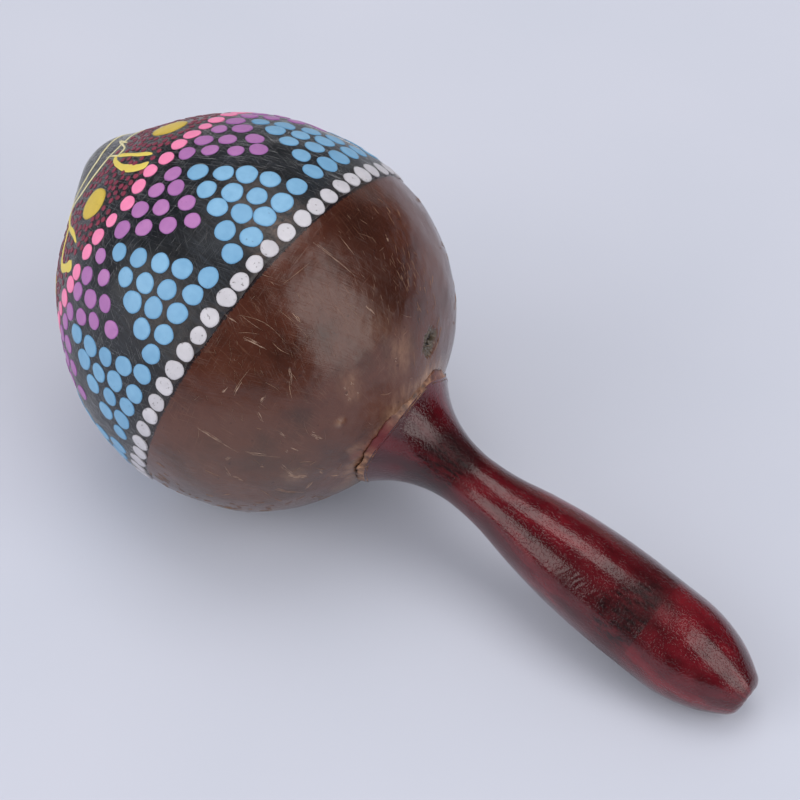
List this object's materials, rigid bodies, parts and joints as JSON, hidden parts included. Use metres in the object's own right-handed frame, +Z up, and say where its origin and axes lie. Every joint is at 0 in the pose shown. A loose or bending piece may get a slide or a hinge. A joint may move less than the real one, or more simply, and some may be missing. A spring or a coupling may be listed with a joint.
{
  "type": "coconut shell shaker",
  "caption": "Hand shaker: a hollow pointed coconut shell with a dot-painted end on a turned wooden handle, with loose seeds inside that rattle when it is shaken.",
  "frame": {"origin": "on the table, below the middle of the box around the whole shaker as it lies at rest", "axes": "+Z up from the table, +X from the painted head to the end of the handle, +Y to the left of someone who looks along +X"},
  "size_m": [0.2101, 0.1017, 0.1014],
  "materials": {
    "coconut_shell": "satin, scraped and oiled",
    "stained_wood": "glossy red stain and varnish",
    "dried_glue": "dull, uneven bead",
    "black_paint": "brushed, half matt",
    "white_paint": "raised dabs",
    "blue_paint": "raised dabs",
    "purple_paint": "raised dabs",
    "pink_paint": "raised dabs",
    "dark_red_paint": "fine raised dabs",
    "yellow_paint": "raised dabs and lines",
    "seed": "dry and smooth"
  },
  "bodies": {
    "shaker": {"shell": "coconut_shell", "handle": "stained_wood", "glue_fillet": "dried_glue", "paint_coat": "black_paint", "white_dots": "white_paint", "blue_dots": "blue_paint", "purple_dots": "purple_paint", "pink_dots": "pink_paint", "red_stipple": "dark_red_paint", "yellow_spots": "yellow_paint", "yellow_figure": "yellow_paint"},
    "seed_01": {"seed_01": "seed"},
    "seed_02": {"seed_02": "seed"},
    "seed_03": {"seed_03": "seed"},
    "seed_04": {"seed_04": "seed"},
    "seed_05": {"seed_05": "seed"},
    "seed_06": {"seed_06": "seed"},
    "seed_07": {"seed_07": "seed"},
    "seed_08": {"seed_08": "seed"},
    "seed_09": {"seed_09": "seed"},
    "seed_10": {"seed_10": "seed"},
    "seed_11": {"seed_11": "seed"},
    "seed_12": {"seed_12": "seed"},
    "seed_13": {"seed_13": "seed"},
    "seed_14": {"seed_14": "seed"},
    "seed_15": {"seed_15": "seed"},
    "seed_16": {"seed_16": "seed"},
    "seed_17": {"seed_17": "seed"},
    "seed_18": {"seed_18": "seed"},
    "seed_19": {"seed_19": "seed"},
    "seed_20": {"seed_20": "seed"},
    "seed_21": {"seed_21": "seed"}
  },
  "joints": [
    {"name": "seed_01_hop", "type": "slide", "parent": "shaker", "child": "seed_01", "axis": [0, 0, 1], "range_m": [0, 0.0788]},
    {"name": "seed_02_hop", "type": "slide", "parent": "shaker", "child": "seed_02", "axis": [0, 0, 1], "range_m": [0, 0.0803]},
    {"name": "seed_03_hop", "type": "slide", "parent": "shaker", "child": "seed_03", "axis": [0, 0, 1], "range_m": [0, 0.0788]},
    {"name": "seed_04_hop", "type": "slide", "parent": "shaker", "child": "seed_04", "axis": [0, 0, 1], "range_m": [0, 0.078]},
    {"name": "seed_05_hop", "type": "slide", "parent": "shaker", "child": "seed_05", "axis": [0, 0, 1], "range_m": [0, 0.0824]},
    {"name": "seed_06_hop", "type": "slide", "parent": "shaker", "child": "seed_06", "axis": [0, 0, 1], "range_m": [0, 0.0839]},
    {"name": "seed_07_hop", "type": "slide", "parent": "shaker", "child": "seed_07", "axis": [0, 0, 1], "range_m": [0, 0.0824]},
    {"name": "seed_08_hop", "type": "slide", "parent": "shaker", "child": "seed_08", "axis": [0, 0, 1], "range_m": [0, 0.078]},
    {"name": "seed_09_hop", "type": "slide", "parent": "shaker", "child": "seed_09", "axis": [0, 0, 1], "range_m": [0, 0.0787]},
    {"name": "seed_10_hop", "type": "slide", "parent": "shaker", "child": "seed_10", "axis": [0, 0, 1], "range_m": [0, 0.0832]},
    {"name": "seed_11_hop", "type": "slide", "parent": "shaker", "child": "seed_11", "axis": [0, 0, 1], "range_m": [0, 0.0848]},
    {"name": "seed_12_hop", "type": "slide", "parent": "shaker", "child": "seed_12", "axis": [0, 0, 1], "range_m": [0, 0.0832]},
    {"name": "seed_13_hop", "type": "slide", "parent": "shaker", "child": "seed_13", "axis": [0, 0, 1], "range_m": [0, 0.0787]},
    {"name": "seed_14_hop", "type": "slide", "parent": "shaker", "child": "seed_14", "axis": [0, 0, 1], "range_m": [0, 0.0762]},
    {"name": "seed_15_hop", "type": "slide", "parent": "shaker", "child": "seed_15", "axis": [0, 0, 1], "range_m": [0, 0.0812]},
    {"name": "seed_16_hop", "type": "slide", "parent": "shaker", "child": "seed_16", "axis": [0, 0, 1], "range_m": [0, 0.0829]},
    {"name": "seed_17_hop", "type": "slide", "parent": "shaker", "child": "seed_17", "axis": [0, 0, 1], "range_m": [0, 0.0812]},
    {"name": "seed_18_hop", "type": "slide", "parent": "shaker", "child": "seed_18", "axis": [0, 0, 1], "range_m": [0, 0.0762]},
    {"name": "seed_19_hop", "type": "slide", "parent": "shaker", "child": "seed_19", "axis": [0, 0, 1], "range_m": [0, 0.0763]},
    {"name": "seed_20_hop", "type": "slide", "parent": "shaker", "child": "seed_20", "axis": [0, 0, 1], "range_m": [0, 0.0782]},
    {"name": "seed_21_hop", "type": "slide", "parent": "shaker", "child": "seed_21", "axis": [0, 0, 1], "range_m": [0, 0.0763]}
  ]
}
